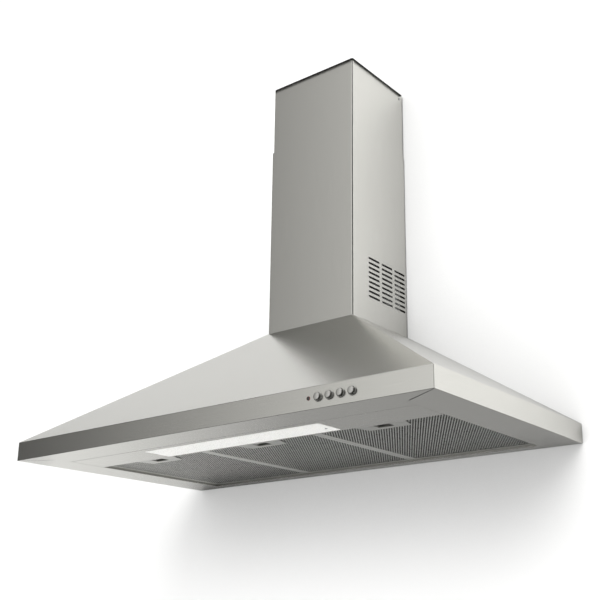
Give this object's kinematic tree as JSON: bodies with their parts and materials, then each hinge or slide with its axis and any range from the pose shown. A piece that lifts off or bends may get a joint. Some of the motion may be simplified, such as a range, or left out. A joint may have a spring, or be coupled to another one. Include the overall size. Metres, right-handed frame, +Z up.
{
  "type": "chimney range hood",
  "caption": "Wall-mounted chimney range hood: pyramid canopy, push buttons in the rim, underside light, swing-down mesh filters, blower and telescoping chimney.",
  "frame": {"origin": "centre of the hood on the wall plane, at the lower edge of the canopy's rim", "axes": "+X to the right as one faces the hood, +Y into the wall, +Z up"},
  "size_m": [0.9, 0.4791, 0.7879],
  "materials": {
    "stainless": "brushed stainless sheet, satin",
    "galvanised": "zinc coated sheet, dull spangle",
    "screw_steel": "zinc plated, smooth",
    "opal_plastic": "opal diffuser, satin",
    "ceramic_white": "moulded, matt",
    "lamp_glass": "frosted",
    "button_metal": "turned and satin plated",
    "dark_lens": "smoked lens, polished",
    "black_plastic": "moulded, fine grain",
    "circuit_board": "lacquered laminate",
    "guard_wire": "moulded, fine grain",
    "motor_steel": "lacquered steel can",
    "impeller_plastic": "moulded, semi-matt",
    "capacitor_case": "moulded, smooth",
    "filter_aluminium": "pressed sheet, mill finish",
    "handle_aluminium": "pressed sheet, satin",
    "latch_plastic": "moulded, ribbed",
    "spring_steel": "drawn wire, bright"
  },
  "bodies": {
    "hood": {"canopy_front": "stainless", "canopy_left": "stainless", "canopy_right": "stainless", "canopy_top": "stainless", "back_panel": "galvanised", "wall_hooks": "galvanised", "rear_rail": "stainless", "light_panel": "stainless", "panel_screws": "screw_steel", "light_cover": "opal_plastic", "cover_screw": "screw_steel", "lamp_tray": "galvanised", "lamp_holders": "ceramic_white", "lamps": "lamp_glass", "button_bezels": "button_metal", "indicator_lens": "dark_lens", "control_housing": "black_plastic", "control_board": "circuit_board", "blower_housing_right": "black_plastic", "blower_housing_left": "black_plastic", "inlet_guard_right": "guard_wire", "inlet_guard_left": "guard_wire", "motor_bracket": "galvanised", "motor": "motor_steel", "outlet_collar": "black_plastic", "flap_pin": "screw_steel", "blower_screws": "screw_steel", "terminal_box": "black_plastic", "terminal_lid": "ceramic_white", "cable_gland": "black_plastic", "capacitor": "capacitor_case", "lower_chimney": "stainless", "lower_chimney_screws": "screw_steel"},
    "filter_left": {"filter_frame_left": "filter_aluminium", "filter_mesh_left": "filter_aluminium", "filter_core_left": "filter_aluminium", "filter_handle_left": "handle_aluminium", "filter_springs_left": "spring_steel"},
    "latch_left": {"filter_latch_left": "latch_plastic"},
    "filter_centre": {"filter_frame_centre": "filter_aluminium", "filter_mesh_centre": "filter_aluminium", "filter_core_centre": "filter_aluminium", "filter_handle_centre": "handle_aluminium", "filter_springs_centre": "spring_steel"},
    "latch_centre": {"filter_latch_centre": "latch_plastic"},
    "filter_right": {"filter_frame_right": "filter_aluminium", "filter_mesh_right": "filter_aluminium", "filter_core_right": "filter_aluminium", "filter_handle_right": "handle_aluminium", "filter_springs_right": "spring_steel"},
    "latch_right": {"filter_latch_right": "latch_plastic"},
    "button_1": {"button_1": "button_metal"},
    "button_2": {"button_2": "button_metal"},
    "button_3": {"button_3": "button_metal"},
    "button_4": {"button_4": "button_metal"},
    "impeller": {"impeller": "impeller_plastic", "motor_shaft": "screw_steel"},
    "flap_front": {"flap_front": "black_plastic"},
    "flap_rear": {"flap_rear": "black_plastic"},
    "upper_chimney": {"upper_chimney": "stainless", "upper_bracket": "galvanised", "chimney_screws": "screw_steel"}
  },
  "joints": [
    {"name": "filter_left_swing", "type": "hinge", "parent": "hood", "child": "filter_left", "pos_m": [-0.2526, -0.0234, 0.004], "axis": [1, 0, 0], "range_deg": [0, 60]},
    {"name": "latch_left_slide", "type": "slide", "parent": "filter_left", "child": "latch_left", "axis": [0, 1, 0], "range_m": [0, 0.005], "stiffness_N_per_m": 300, "springref_m": -0.003, "deforming": ["filter_springs_left"]},
    {"name": "filter_centre_swing", "type": "hinge", "parent": "hood", "child": "filter_centre", "pos_m": [0, -0.0234, 0.004], "axis": [1, 0, 0], "range_deg": [0, 60]},
    {"name": "latch_centre_slide", "type": "slide", "parent": "filter_centre", "child": "latch_centre", "axis": [0, 1, 0], "range_m": [0, 0.005], "stiffness_N_per_m": 300, "springref_m": -0.003, "deforming": ["filter_springs_centre"]},
    {"name": "filter_right_swing", "type": "hinge", "parent": "hood", "child": "filter_right", "pos_m": [0.2526, -0.0234, 0.004], "axis": [1, 0, 0], "range_deg": [0, 60]},
    {"name": "latch_right_slide", "type": "slide", "parent": "filter_right", "child": "latch_right", "axis": [0, 1, 0], "range_m": [0, 0.005], "stiffness_N_per_m": 300, "springref_m": -0.003, "deforming": ["filter_springs_right"]},
    {"name": "button_1_press", "type": "slide", "parent": "hood", "child": "button_1", "axis": [0, 1, 0], "range_m": [0, 0.002], "stiffness_N_per_m": 600, "springref_m": -0.001},
    {"name": "button_2_press", "type": "slide", "parent": "hood", "child": "button_2", "axis": [0, 1, 0], "range_m": [0, 0.002], "stiffness_N_per_m": 600, "springref_m": -0.001},
    {"name": "button_3_press", "type": "slide", "parent": "hood", "child": "button_3", "axis": [0, 1, 0], "range_m": [0, 0.002], "stiffness_N_per_m": 600, "springref_m": -0.001},
    {"name": "button_4_press", "type": "slide", "parent": "hood", "child": "button_4", "axis": [0, 1, 0], "range_m": [0, 0.002], "stiffness_N_per_m": 600, "springref_m": -0.001},
    {"name": "impeller_spin", "type": "hinge", "parent": "hood", "child": "impeller", "pos_m": [0, -0.15754, 0.122], "axis": [1, 0, 0], "continuous": true},
    {"name": "flap_front_open", "type": "hinge", "parent": "hood", "child": "flap_front", "pos_m": [0, -0.0905, 0.2735], "axis": [-1, 0, 0], "range_deg": [0, 80]},
    {"name": "flap_rear_open", "type": "hinge", "parent": "hood", "child": "flap_rear", "pos_m": [0, -0.0905, 0.2735], "axis": [1, 0, 0], "range_deg": [0, 80]},
    {"name": "upper_chimney_slide", "type": "slide", "parent": "hood", "child": "upper_chimney", "axis": [0, 0, 1], "range_m": [-0.13, 0.2]}
  ]
}
